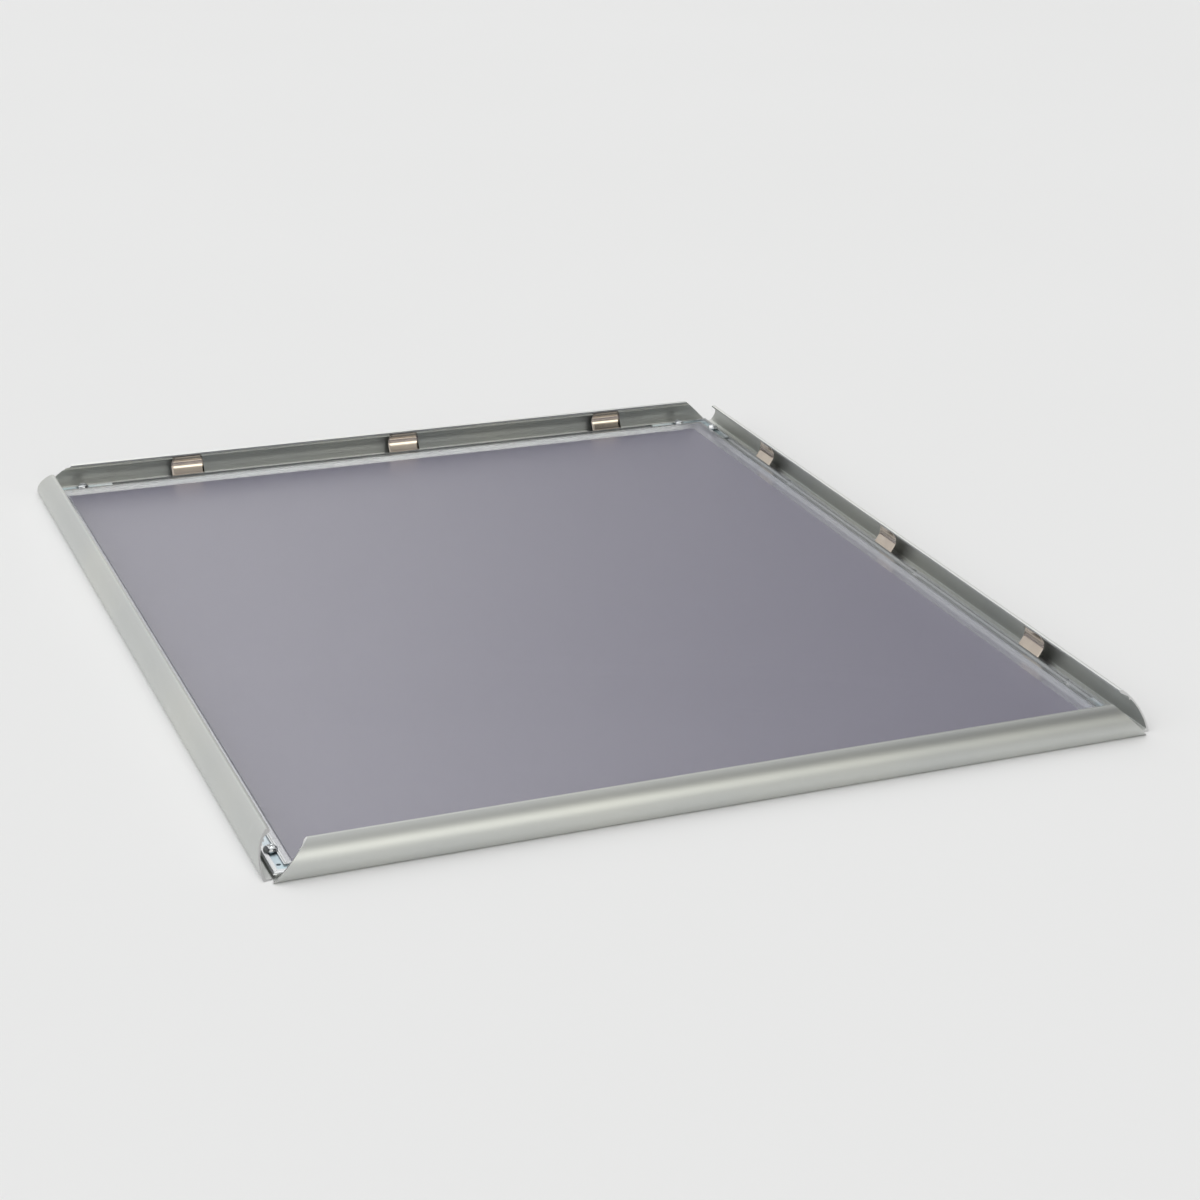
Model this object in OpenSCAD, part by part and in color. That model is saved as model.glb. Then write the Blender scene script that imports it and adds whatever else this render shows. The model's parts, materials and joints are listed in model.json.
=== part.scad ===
// Snap frame for a 508 x 610 mm insert, drawn with its four snap rails open.
// Four mitred base rails are joined by steel corner brackets. A snap rail turns on the
// outer edge of each base rail and is thrown open or shut by bent leaf springs.
// The origin is the centre of the frame on the surface that it lies on.
// +X runs along the front rail to the right, +Y to the back rail, and +Z up.
// A rail's section is drawn with d, the distance inward from the closed frame's outer
// face, and z, the height above the surface.

/* [Insert] */
// Width of the insert that the frame takes
insert_w = 508; // [300:1:900]
// Length of the insert that the frame takes
insert_l = 610; // [300:1:1200]
// Free play around the insert, on each side
insert_play = 0.3; // [0.1:0.1:1]
// Thickness of the clear cover sheet
cover_t = 0.4; // [0.2:0.1:0.5]
// Thickness of the grey backing panel
backing_t = 1; // [0.6:0.1:1.1]
// Gap between the backing panel and the recess at the front, where it lies
backing_gap_front = 1.3; // [0.3:0.1:4]
// Gap between the backing panel and the recess at the left
backing_gap_left = 4.1; // [0.3:0.1:6]
// Gap between the backing panel and the recess at the back and the right
backing_play = 9.3; // [0.3:0.1:12]

/* [Base rail] */
// Full width of a base rail's section
base_w = 28; // [26:0.5:40]
// Thickness of the floor that the sheets lie on
floor_t = 1; // [0.8:0.1:1.2]
// Distance from the closed frame's outer face to the recess for the sheets
recess_d = 11.7; // [11.4:0.1:14]
// Width of the slot between the lips of the bracket channel
slot_w = 4.8; // [4.6:0.1:5.2]
// Distance from the outer face to the slot
slot_d = 5.1; // [4.9:0.1:5.2]
// Thickness of the lips over the bracket channel
lip_t = 0.9; // [0.7:0.1:1.1]
// Width of the fine groove that runs along the inner lip
groove_w = 0.5; // [0.3:0.1:0.8]
// Depth of that groove
groove_t = 0.3; // [0.1:0.1:0.5]
// Width of the hollow under the floor of a base rail
hollow_w = 12; // [6:0.5:12]
// Depth of that hollow
hollow_t = 0.25; // [0.1:0.05:0.3]
// Thickness of the wall between the bracket channel and the recess
channel_wall = 0.8; // [0.6:0.1:0.9]
// Diameter of a wall fixing hole in the channel floor
wall_hole_dia = 4.2; // [3:0.1:4.6]
// Diameter of the opening through the lips over a wall fixing hole
access_dia = 7; // [5:0.1:7.4]
// Distance from a long side's spring to the wall fixing hole in front of it
wall_hole_offset = 43; // [18:1:60]

/* [Snap rail] */
// Distance from a closed rail's outer face to the edge of its pressing lip
rail_w = 20.8; // [19.5:0.1:23]
// Wall of the snap rail's curved face
rail_wall = 1.1; // [0.9:0.05:1.2]
// Wall of the snap rail's foot beside the hinge
foot_wall = 0.6; // [0.5:0.05:0.65]
// Radius of the bend between the curved face and the foot
bend_r = 1.5; // [1.3:0.1:2]
// Radius of the rail's curved face
crown_r = 18.6; // [17.5:0.1:22]
// Height of the crown of a closed rail
crown_z = 10; // [9.6:0.1:11]
// Distance from the outer face to the crown
crown_d = 7.66; // [7:0.1:9]
// Height of the pressing lip over the cover sheet on a closed rail
lip_gap = 0.25; // [0.2:0.05:0.6]
// Length of the slanted inner side of the pressing lip, along the section
lip_run = 3.4; // [2.5:0.1:5]
// Height of the small rib that keeps the springs' ends beside the lip
rib_h = 0.8; // [0.3:0.1:1]
// Width of that rib
rib_w = 0.6; // [0.4:0.1:1]
// Groove between that rib and the lip
rib_groove = 1.2; // [0.8:0.1:2]
// Angle that a rail stands open at
open_angle = 80; // [60:1:84]
// Gap between two closed rails at a mitre, measured across each rail's end
mitre_gap = 0.15; // [0.1:0.05:0.4]

/* [Hinge] */
// Distance from the outer face to the hinge line
hinge_d = 3.05; // [3:0.05:3.2]
// Height of the hinge line
hinge_z = 2; // [1.95:0.05:2.1]
// Radius of the bead that a snap rail turns on
bead_r = 0.8; // [0.7:0.05:0.8]
// Running clearance around the bead
bead_clear = 0.05; // [0.04:0.01:0.08]
// Wall of the hook over the bead
hook_wall = 0.4; // [0.3:0.05:0.4]

/* [Springs] */
// Number of springs in each rail
springs = 3; // [3]
// Distance between springs on the front and back rails
spring_pitch_short = 168; // [90:1:200]
// Distance between springs on the side rails
spring_pitch_long = 197; // [90:1:240]
// How far the back rail's springs sit off the middle, towards the frame's right
spring_shift_back = 9; // [-15:1:15]
// How far the right rail's springs sit off the middle, towards the frame's back
spring_shift_right = 5; // [-15:1:15]
// Width of a spring
spring_w = 24; // [12:1:30]
// Thickness of the spring steel
spring_t = 0.5; // [0.3:0.05:0.6]

/* [Corner bracket] */
// Length of a bracket's leg from the frame's corner
leg_l = 50; // [40:1:70]
// Thickness of the bracket
bracket_t = 1.2; // [0.9:0.1:1.5]
// Clearance at each edge of the bracket in its channel
bracket_clear = 0.15; // [0.05:0.05:0.3]
// Distance from the frame's corner to the clamping screw
screw_s = 28; // [20:1:36]
// Distance from the frame's corner to the small hole in each leg
pilot_s = 12; // [11:0.5:16]
// Diameter of the small hole
pilot_dia = 2.4; // [1.5:0.1:3]

/* [Clamping screw] */
// Thread diameter
screw_dia = 4; // [3:0.1:4.4]
// Head diameter
head_dia = 7.8; // [7:0.1:8]
// Head height
head_h = 2.6; // [2:0.1:3]
// Clearance around the thread in the bracket
screw_clear = 0.05; // [0.02:0.01:0.1]

/* [Hidden] */
$fn = 64;
SIDES = ["front", "back", "left", "right"];
CORNERS = ["front_left", "front_right", "back_right", "back_left"];

// Closed outer size of the frame
frame_w = insert_w + 2*(recess_d + insert_play);
frame_l = insert_l + 2*(recess_d + insert_play);

// The backing panel fills the recess but for its gaps
backing_w = insert_w + insert_play*2 - backing_gap_left - backing_play;
backing_l = insert_l + insert_play*2 - backing_gap_front - backing_play;

// Bracket channel
channel_h = bracket_t + 0.2;
channel_out = slot_d - 0.6;
channel_in = recess_d - channel_wall;
lip_z = floor_t + channel_h;
top_z = lip_z + lip_t;
slot_mid = slot_d + slot_w/2;

// Hinge seat in the base rail: a cradle below and a hook above, so the bead can't drop out
seat_r = bead_r + bead_clear;
cradle_angle = 30;
cradle_d = hinge_d + seat_r*cos(cradle_angle);
hook_end_z = hinge_z + 0.2;
base_gap = 0.05;

// Snap rail section, closed
crown_c = [crown_d, crown_z - crown_r];
inner_r = crown_r - rail_wall;
press_z = floor_t + backing_t + cover_t + lip_gap;
tip_z = crown_c[1] + sqrt(pow(crown_r, 2) - pow(rail_w - crown_d, 2));
lip_base = [rail_w - lip_run, crown_c[1] + sqrt(pow(inner_r, 2) - pow(rail_w - lip_run - crown_d, 2))];
lip_edge = [rail_w - 1.2, press_z];
function turn_of(p) = atan2(p[1] - crown_c[1], p[0] - crown_c[0]);
function degrees_of(length) = length/inner_r*180/PI;
rib_turn = turn_of(lip_base) + degrees_of(rib_groove);
shoulder_z = crown_c[1] + sqrt(pow(crown_r, 2) - pow(crown_d, 2));
foot_z = hinge_z - bead_r;
// The foot leans in, so that it lies level when the rail stands open
foot_lean = 90 - open_angle;
foot_in = (shoulder_z - foot_z)*tan(foot_lean);
function foot_at(z) = (shoulder_z - z)*tan(foot_lean);
// Centre of the bend, inside both the curved face and the foot's outer line
bend_off = -crown_d*cos(foot_lean) + (shoulder_z - crown_c[1])*sin(foot_lean) + bend_r;
bend_drop = crown_d*sin(foot_lean) + (shoulder_z - crown_c[1])*cos(foot_lean)
    - sqrt(pow(crown_r - bend_r, 2) - pow(bend_off, 2));
bend_c = [bend_r*cos(foot_lean) + bend_drop*sin(foot_lean),
          shoulder_z + bend_r*sin(foot_lean) - bend_drop*cos(foot_lean)];
bend_turn = turn_of(bend_c);

// Springs: path of the leaf through the open rail, as [d, z] points
spring_seat = [slot_d - 0.4, top_z + 0.02 + spring_t/2];
spring_knee = [1, 9.2];
spring_neck = [1.1, 13.6];
spring_end = open_point(lip_base + 0.3*(lip_edge - lip_base)) + (spring_t/2 + 0.04)*lip_away();
// A point of the closed section, turned out to where the rail stands open
function open_point(p) = [hinge_d, hinge_z] + turned(p - [hinge_d, hinge_z], open_angle);
function turned(p, a) = [p[0]*cos(a) - p[1]*sin(a), p[0]*sin(a) + p[1]*cos(a)];
// Direction that the pressing lip's inner side faces, open
function lip_away() = turned([lip_edge[1] - lip_base[1], lip_base[0] - lip_edge[0]], open_angle)
    /norm(lip_edge - lip_base);

// Places a section's side: length along the side, turn about Z and distance to the middle
function side_len(s) = (s == "front" || s == "back") ? frame_w : frame_l;
function side_turn(s) = s == "front" ? 0 : s == "right" ? 90 : s == "back" ? 180 : 270;
function side_reach(s) = (s == "front" || s == "back") ? frame_l/2 : frame_w/2;
function side_pitch(s) = (s == "front" || s == "back") ? spring_pitch_short : spring_pitch_long;
function side_shift(s) = s == "back" ? -spring_shift_back : s == "right" ? spring_shift_right : 0;
function corner_turn(c) = c == "front_left" ? 0 : c == "front_right" ? 90 : c == "back_right" ? 180 : 270;

// Lays what is drawn for the front side on side s. There x runs along the side from its
// middle, y is d and z is up.
module on_side(s) {
    rotate([0, 0, side_turn(s)]) translate([0, -side_reach(s), 0]) children();
}

// Extrudes a [d, z] section along x, centred
module bar(length) {
    rotate([90, 0, 90]) translate([0, 0, -length/2]) linear_extrude(length) children();
}

// Space that one side's pieces keep to between its two mitres
module mitre_space(length, gap) {
    reach = base_w + 10;
    half = length/2 - gap;
    translate([0, 0, -1]) linear_extrude(crown_z + rail_w)
        polygon([[-half - reach, -reach], [half + reach, -reach], [half - reach, reach], [-half + reach, reach]]);
}

// Turns a closed snap rail out to where it stands open
module opened() {
    translate([0, hinge_d, hinge_z]) rotate([open_angle, 0, 0]) translate([0, -hinge_d, -hinge_z]) children();
}

module base_section() {
    difference() {
        union() {
            // Floor that lies on the wall and carries the sheets
            translate([cradle_d, 0]) square([base_w - cradle_d, floor_t]);
            // Outer wall, from the cradle under the bead to the lip
            translate([cradle_d, 0]) square([channel_out - cradle_d, top_z]);
            translate([hinge_d, lip_z]) square([slot_d - hinge_d, lip_t]);
            // Hook over the hinge bead
            intersection() {
                translate([hinge_d, hinge_z]) circle(r = seat_r + hook_wall);
                translate([0, hook_end_z]) square([hinge_d + 0.1, top_z]);
            }
            // Inner lip and wall of the bracket channel
            translate([slot_d + slot_w, lip_z]) square([recess_d - slot_d - slot_w, lip_t]);
            translate([channel_in, 0]) square([channel_wall, top_z]);
        }
        // Seat that the bead turns in
        translate([hinge_d, hinge_z]) circle(r = seat_r);
        // Fine groove along the inner lip, and the hollow that lets the floor lie on its two edges
        translate([slot_d + slot_w + groove_w, top_z - groove_t]) square([groove_w, groove_t + 1]);
        translate([recess_d + 1, -1]) square([hollow_w, hollow_t + 1]);
    }
}

module base_rail(s) {
    long_side = s == "left" || s == "right";
    hole_dir = s == "right" ? -1 : 1;
    color("silver") on_side(s) difference() {
        intersection() {
            bar(side_len(s)) base_section();
            mitre_space(side_len(s), base_gap);
        }
        if (long_side) for (i = [0:springs - 1])
            translate([(i - (springs - 1)/2)*side_pitch(s) + hole_dir*wall_hole_offset, slot_mid, -1]) {
                cylinder(d = wall_hole_dia, h = floor_t + 2);
                translate([0, 0, lip_z]) cylinder(d = access_dia, h = lip_t + 2);
            }
    }
}

// Points along an arc
function arc(centre, r, from, to, steps) =
    [for (i = [0:steps]) centre + r*[cos(from + (to - from)*i/steps), sin(from + (to - from)*i/steps)]];

// Closed section of a snap rail: one outline, and the round bead that it turns on
module snap_section() {
    neck_z = foot_z + 0.3;
    taper_z = top_z + 0.2;
    polygon(concat(
        // Curved face, bend and foot, on the outside
        arc(crown_c, crown_r, turn_of([rail_w, tip_z]), bend_turn, 26),
        arc(bend_c, bend_r, bend_turn, 180 + foot_lean, 6),
        // Foot, and the neck that joins it to the bead
        [[foot_in, foot_z], [foot_in + foot_wall, foot_z],
         [hinge_d - bead_r/2, neck_z], [hinge_d - bead_r/2, hinge_z - 0.1],
         [foot_at(hinge_z - 0.1) + foot_wall, hinge_z - 0.1], [foot_at(taper_z) + foot_wall, taper_z]],
        // Inside of the bend and of the curved face
        arc(bend_c, bend_r - rail_wall, 180 + foot_lean, bend_turn + 1, 3),
        arc(crown_c, inner_r, bend_turn, rib_turn + degrees_of(rib_w), 20),
        // Rib beside the groove for the springs' ends
        arc(crown_c, inner_r - rib_h, rib_turn + degrees_of(rib_w), rib_turn, 1),
        arc(crown_c, inner_r, rib_turn, turn_of(lip_base), 2),
        // Pressing lip
        [lip_edge, [rail_w, press_z]]
    ));
    translate([hinge_d, hinge_z]) circle(r = bead_r);
}

module snap_rail(s) {
    len = side_len(s);
    bead_end = hinge_d + bead_r + mitre_gap;
    color("gainsboro") on_side(s) intersection() {
        opened() difference() {
            intersection() {
                bar(len) snap_section();
                mitre_space(len, mitre_gap);
            }
            // The bead stops short of the corner, clear of its neighbour as it turns
            for (m = [0, 1]) mirror([m, 0, 0])
                translate([len/2 - bead_end, hinge_d - bead_r - 0.2, 0])
                    cube([bead_end + 1, bead_r*2 + 0.4, hinge_z + bead_r + 0.05]);
        }
        mitre_space(len, mitre_gap);
    }
}

// Leaf section: a band of the steel's thickness along straight runs
module leaf(points) {
    for (i = [0:len(points) - 2]) {
        a = points[i];
        b = points[i + 1];
        dir = atan2(b[1] - a[1], b[0] - a[0]);
        translate(a) rotate(dir) translate([0, -spring_t/2]) square([norm(b - a), spring_t]);
    }
    for (p = points) translate(p) circle(d = spring_t, $fn = 24);
}

module spring(s, i) {
    x = (i - (springs + 1)/2)*side_pitch(s) + side_shift(s);
    color("tan") on_side(s) translate([x, 0, 0]) bar(spring_w)
        leaf([spring_seat, spring_knee, spring_neck, spring_end]);
}

// Puts a corner's pieces in place: x and y run from the frame's corner along its two sides
module on_corner(c) {
    square_turn = c == "front_left" || c == "back_right";
    half_w = square_turn ? frame_w/2 : frame_l/2;
    half_l = square_turn ? frame_l/2 : frame_w/2;
    rotate([0, 0, corner_turn(c)]) translate([-half_w, -half_l, 0]) children();
}

module corner_bracket(c) {
    low = channel_out + bracket_clear;
    wide = channel_in - channel_out - bracket_clear*2;
    color("lightsteelblue") on_corner(c) translate([0, 0, lip_z - bracket_t]) difference() {
        linear_extrude(bracket_t) union() {
            translate([low, low]) square([leg_l - low, wide]);
            translate([low, low]) square([wide, leg_l - low]);
        }
        for (m = [0, 1]) mirror([m, -m, 0]) {
            translate([screw_s, slot_mid, -1]) cylinder(r = screw_dia/2 + screw_clear, h = bracket_t + 2);
            translate([pilot_s, slot_mid, -1]) cylinder(d = pilot_dia, h = bracket_t + 2, $fn = 32);
        }
    }
}

// Pan-head screw, point down, with its head's underside at z = 0
module pan_screw(shank_l) {
    dome_r = (pow(head_dia/2, 2) + pow(head_h*0.6, 2))/(2*head_h*0.6);
    difference() {
        union() {
            translate([0, 0, -shank_l]) cylinder(d = screw_dia, h = shank_l + 0.1);
            cylinder(d = head_dia, h = head_h*0.4);
            translate([0, 0, head_h*0.4]) intersection() {
                translate([0, 0, head_h*0.6 - dome_r]) sphere(r = dome_r);
                translate([0, 0, -0.05]) cylinder(d = head_dia, h = head_h);
            }
        }
        // Cross recess
        for (a = [0, 90]) rotate(a) translate([-head_dia*0.25, -0.45, head_h*0.45]) cube([head_dia*0.5, 0.9, head_h]);
    }
}

module clamp_screws(c) {
    color("lightgray") on_corner(c) for (m = [0, 1]) mirror([m, -m, 0])
        translate([screw_s, slot_mid, top_z]) pan_screw(top_z - floor_t - 0.1);
}

module backing_panel() {
    left = recess_d + backing_gap_left;
    front = recess_d + backing_gap_front;
    color("slategray") translate([left - frame_w/2, front - frame_l/2, floor_t])
        cube([backing_w, backing_l, backing_t]);
}

module cover_sheet() {
    color("lavender", 0.4) translate([-insert_w/2, -insert_l/2, floor_t + backing_t])
        cube([insert_w, insert_l, cover_t]);
}

for (s = SIDES) {
    base_rail(s);
    snap_rail(s);
    for (i = [1:springs]) spring(s, i);
}
for (c = CORNERS) {
    corner_bracket(c);
    clamp_screws(c);
}
backing_panel();
cover_sheet();
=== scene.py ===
# %% [markdown]
# A snap frame, thrown open. The CAD model already holds every piece at its real size, so
# this script gives the pieces their finish and builds again, in finer mesh, the ones that
# the eye rests on: the curved snap rails, the leaf springs and the clamping screws.
# It starts by loading that model as a fixed frame.

# %% Load the frame
import json
import math
import random

import bmesh
import bpy
from mathutils import Matrix, Vector
from mathutils.geometry import tessellate_polygon


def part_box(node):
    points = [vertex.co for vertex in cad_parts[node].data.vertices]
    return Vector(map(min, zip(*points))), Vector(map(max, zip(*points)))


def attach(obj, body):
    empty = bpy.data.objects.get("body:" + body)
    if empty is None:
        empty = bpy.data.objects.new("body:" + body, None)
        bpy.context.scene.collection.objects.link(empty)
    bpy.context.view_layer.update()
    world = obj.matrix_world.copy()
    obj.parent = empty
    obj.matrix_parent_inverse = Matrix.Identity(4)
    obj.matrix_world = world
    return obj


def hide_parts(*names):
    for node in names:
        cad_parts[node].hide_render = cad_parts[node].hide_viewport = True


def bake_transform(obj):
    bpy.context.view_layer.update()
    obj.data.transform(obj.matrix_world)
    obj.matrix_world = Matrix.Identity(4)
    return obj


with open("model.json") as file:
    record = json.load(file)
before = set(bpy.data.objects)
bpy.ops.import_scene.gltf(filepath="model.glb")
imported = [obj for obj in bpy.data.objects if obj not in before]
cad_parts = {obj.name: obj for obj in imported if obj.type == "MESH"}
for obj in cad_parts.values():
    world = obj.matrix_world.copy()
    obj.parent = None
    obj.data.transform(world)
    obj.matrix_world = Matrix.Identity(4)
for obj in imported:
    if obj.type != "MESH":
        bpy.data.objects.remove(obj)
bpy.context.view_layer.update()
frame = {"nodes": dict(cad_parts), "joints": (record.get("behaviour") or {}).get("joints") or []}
nodes = frame["nodes"]

# %% [markdown]
# Every measure below is in metres, so a millimetre gets a name. The closed size of the frame
# comes from its hinges: each one lies a fixed distance in from the closed outer face.

# %% Sizes shared by all the pieces
MM = 0.001
hinge_of = {joint["child"]: Vector(joint["pos_m"]) for joint in frame["joints"]}
hinge_in = 3.05 * MM
hinge_up = hinge_of["snap_front"].z
half_w = hinge_of["snap_right"].x + hinge_in
half_l = hinge_of["snap_back"].y + hinge_in
open_angle = math.radians(frame["joints"][0]["range_deg"][1])
SIDES = ("front", "back", "left", "right")
side_turn = {"front": 0, "right": 90, "back": 180, "left": 270}
print("closed frame:", round(half_w * 2000), "by", round(half_l * 2000), "mm")


def side_matrix(side):
    """Lays what is drawn for the front rail on a side: x along it, y inward, z up."""
    reach = half_l if side in ("front", "back") else half_w
    turn = Matrix.Rotation(math.radians(side_turn[side]), 4, "Z")
    return turn @ Matrix.Translation((0, -reach, 0))


def side_half(side):
    """Half the closed length of a side."""
    return half_w if side in ("front", "back") else half_l


# %% [markdown]
# The camera stands where the photographer stood. Its place, turn and focal length were
# solved from the straight lines of the rails, so they are real measures and not guesses.
# A long lens and a low tilt give the picture its gentle perspective.

# %% Camera
camera_place = Vector((-0.5492, -1.4434, 0.6244))
camera_turn = 0.4125
camera_dip = 0.3839
camera_roll = 0.0277
focal_px = 2510.8
centre_px = (650.8, 601.4)
image_px = 1200
sensor = 36.0


def camera_matrix():
    """The camera's place and turn, from its heading, dip and roll in radians."""
    ahead = Vector((math.sin(camera_turn) * math.cos(camera_dip),
                    math.cos(camera_turn) * math.cos(camera_dip),
                    -math.sin(camera_dip)))
    level = Vector((math.cos(camera_turn), -math.sin(camera_turn), 0))
    up = level.cross(ahead)
    right = level * math.cos(camera_roll) + up * math.sin(camera_roll)
    top = up * math.cos(camera_roll) - level * math.sin(camera_roll)
    turn = Matrix((right, top, -ahead)).transposed().to_4x4()
    return Matrix.Translation(camera_place) @ turn


camera_data = bpy.data.cameras.new("camera")
camera_data.sensor_width = sensor
camera_data.lens = focal_px / image_px * sensor
camera_data.shift_x = (image_px / 2 - centre_px[0]) / image_px
camera_data.shift_y = (centre_px[1] - image_px / 2) / image_px
camera_data.clip_start = 0.01
camera = bpy.data.objects.new("camera", camera_data)
camera.matrix_world = camera_matrix()
bpy.context.scene.collection.objects.link(camera)
bpy.context.scene.camera = camera
print("lens:", round(camera_data.lens, 1), "mm")

# %% [markdown]
# A product photograph like this one is taken in a white tent. The rails are metal, so what
# they mirror matters more than what falls on them. The tent is painted as the world: an even
# white with a few patches on it. The soft box behind the camera draws the long highlight on
# the front rail, and the dark side to the right of the camera lets that rail fade towards its
# right end. A faint window with a narrow seam behind the frame lights up the lips of the back
# rail. The dark room at the back right makes the panel fade from left to right, and the dark
# ceiling over the camera is what the back rail's springs mirror. Two soft lights, high at the
# back and high at the left, lift the floor and the panel's near left part.

# %% World: the white tent
scene = bpy.context.scene
scene.view_settings.view_transform = "Standard"
world = bpy.data.worlds.new("tent")
scene.world = world
world.use_nodes = True
tent = world.node_tree
tent_walls = (0.80, 0.80, 0.80)
# Each patch: where it is, how it is squeezed in x, y and z, where it fades out and in,
# its colour and how much light it adds or takes.
tent_patches = [
    ("soft box", (0.27, -0.86, 0.42), (3.8, 1.5, 3.0), (0.85, 0.55), (1.0, 0.99, 0.90), 1.85),
    ("dark ceiling", (0.27, -0.66, 0.70), (2.2, 1.5, 2.6), (0.60, 0.30), (1.0, 1.0, 1.0), -0.42),
    ("dark side", (0.86, -0.48, 0.20), (1.0, 1.0, 0.6), (0.70, 0.44), (1.0, 1.0, 1.0), -0.76),
    ("window", (0.12, 0.93, 0.35), (2.6, 1.0, 2.6), (0.80, 0.20), (1.0, 0.99, 0.96), 0.12),
    ("bright seam", (0.232, 0.898, 0.375), (8.0, 1.0, 4.0), (0.90, 0.20), (1.0, 0.98, 0.92), 0.15),
    ("dark room", (0.707, 0.636, 0.31), (1.1, 1.1, 1.6), (0.75, 0.25), (1.0, 1.0, 1.0), -0.70),
    ("back light", (0.05, 0.57, 0.82), (1.0, 1.0, 1.0), (0.55, 0.30), (1.0, 1.0, 1.0), 1.05),
    ("left light", (-0.70, 0.05, 0.71), (1.0, 1.0, 1.0), (0.85, 0.40), (1.0, 1.0, 1.0), 0.35),
]


def paint_tent():
    """Adds the patches to the tent's walls, one after another."""
    place = tent.nodes.new("ShaderNodeTexCoord")
    total = None
    for name, towards, squeeze, fading, colour, strength in tent_patches:
        away = tent.nodes.new("ShaderNodeVectorMath")
        away.operation = "SUBTRACT"
        away.inputs[1].default_value = Vector(towards).normalized()
        shape = tent.nodes.new("ShaderNodeVectorMath")
        shape.operation = "MULTIPLY"
        shape.inputs[1].default_value = squeeze
        length = tent.nodes.new("ShaderNodeVectorMath")
        length.operation = "LENGTH"
        fade = tent.nodes.new("ShaderNodeMapRange")
        fade.label = name
        fade.interpolation_type = "SMOOTHSTEP"
        fade.inputs["From Min"].default_value = fading[0]
        fade.inputs["From Max"].default_value = fading[1]
        glow = tent.nodes.new("ShaderNodeVectorMath")
        glow.operation = "SCALE"
        glow.inputs[0].default_value = Vector(colour) * strength
        gather = tent.nodes.new("ShaderNodeVectorMath")
        gather.operation = "ADD"
        gather.inputs[1].default_value = tent_walls
        tent.links.new(place.outputs["Generated"], away.inputs[0])
        tent.links.new(away.outputs["Vector"], shape.inputs[0])
        tent.links.new(shape.outputs["Vector"], length.inputs[0])
        tent.links.new(length.outputs["Value"], fade.inputs["Value"])
        tent.links.new(fade.outputs["Result"], glow.inputs["Scale"])
        tent.links.new(glow.outputs["Vector"], gather.inputs[0])
        if total:
            tent.links.new(total, gather.inputs[1])
        total = gather.outputs["Vector"]
    tent.links.new(total, tent.nodes["Background"].inputs["Color"])


paint_tent()
tent.nodes["Background"].inputs["Strength"].default_value = 1.0

SQUARE = ((-1, -1), (1, -1), (1, 1), (-1, 1))
floor_mesh = bpy.data.meshes.new("floor")
floor_half = 12
floor_mesh.from_pydata([(x * floor_half, y * floor_half, 0) for x, y in SQUARE], [], [(0, 1, 2, 3)])
floor = bpy.data.objects.new("floor", floor_mesh)
scene.collection.objects.link(floor)
print("tent patches:", len(tent_patches), "and a floor of", floor_half * 2, "m")

# %% [markdown]
# Materials in Blender are graphs of nodes. A few small helpers keep each graph short: one
# makes a material and hands back its Principled shader, one adds a node with its values,
# and one wires two sockets together.

# %% Helpers for node graphs


def add(tree, kind, x=0, y=0, values=None, **settings):
    """Adds a node, sets its properties and fills its unlinked inputs."""
    made = tree.nodes.new(kind)
    made.location = (x, y)
    for key, value in settings.items():
        setattr(made, key, value)
    for key, value in (values or {}).items():
        made.inputs[key].default_value = value
    return made


def join(tree, out, into):
    """Wires an output socket to an input socket."""
    tree.links.new(out, into)


def shader_material(name, colour, metallic, roughness, **extra):
    """A material and its Principled shader, with constants on the shader's own sockets."""
    made = bpy.data.materials.new(name)
    made.use_nodes = True
    made.diffuse_color = (*colour, 1)
    principled = made.node_tree.nodes["Principled BSDF"]
    principled.inputs["Base Color"].default_value = (*colour, 1)
    principled.inputs["Metallic"].default_value = metallic
    principled.inputs["Roughness"].default_value = roughness
    for key, value in extra.items():
        principled.inputs[key.replace("_", " ").title().replace("Ior", "IOR")].default_value = value
    return made, principled


def new_group(name, inputs, outputs):
    """An empty shader node group with named sockets."""
    tree = bpy.data.node_groups.new(name, "ShaderNodeTree")
    for label, kind, value in inputs:
        socket = tree.interface.new_socket(label, in_out="INPUT", socket_type=kind)
        socket.default_value = value
    for label, kind in outputs:
        tree.interface.new_socket(label, in_out="OUTPUT", socket_type=kind)
    return tree, add(tree, "NodeGroupInput", -900), add(tree, "NodeGroupOutput", 600)


def use_group(tree, group, x=-500, y=0, **values):
    """Places a group in a material with its own values."""
    made = add(tree, "ShaderNodeGroup", x, y, node_tree=group)
    for key, value in values.items():
        made.inputs[key.replace("_", " ").capitalize()].default_value = value
    return made


FLOAT = "NodeSocketFloat"
COLOUR = "NodeSocketColor"
VECTOR = "NodeSocketVector"

# %% [markdown]
# An extruded bar carries fine straight lines that the die leaves along it. They are made
# here as noise squeezed along one direction: the point is scaled up across the bar and
# hardly at all along it, so the pattern draws out into streaks. The group is told which way
# the bar runs, and gives a mask that a material uses for colour, gloss and relief.

# %% Group: drawn lines
lines_group, lines_in, lines_out = new_group(
    "drawn lines",
    [("Along", VECTOR, (1, 0, 0)), ("Fineness", FLOAT, 1400.0), ("Stretch", FLOAT, 0.004)],
    [("Mask", FLOAT), ("Broad", FLOAT)])
lines_place = add(lines_group, "ShaderNodeTexCoord", -900, -200)
lines_dot = add(lines_group, "ShaderNodeVectorMath", -700, -100, operation="DOT_PRODUCT")
lines_part = add(lines_group, "ShaderNodeVectorMath", -520, -60, operation="SCALE")
lines_side = add(lines_group, "ShaderNodeVectorMath", -350, -160, operation="SUBTRACT")
lines_short = add(lines_group, "ShaderNodeVectorMath", -350, 20, operation="SCALE")
lines_mix = add(lines_group, "ShaderNodeVectorMath", -180, -60, operation="ADD")
join(lines_group, lines_place.outputs["Object"], lines_dot.inputs[0])
join(lines_group, lines_in.outputs["Along"], lines_dot.inputs[1])
join(lines_group, lines_in.outputs["Along"], lines_part.inputs[0])
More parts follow.
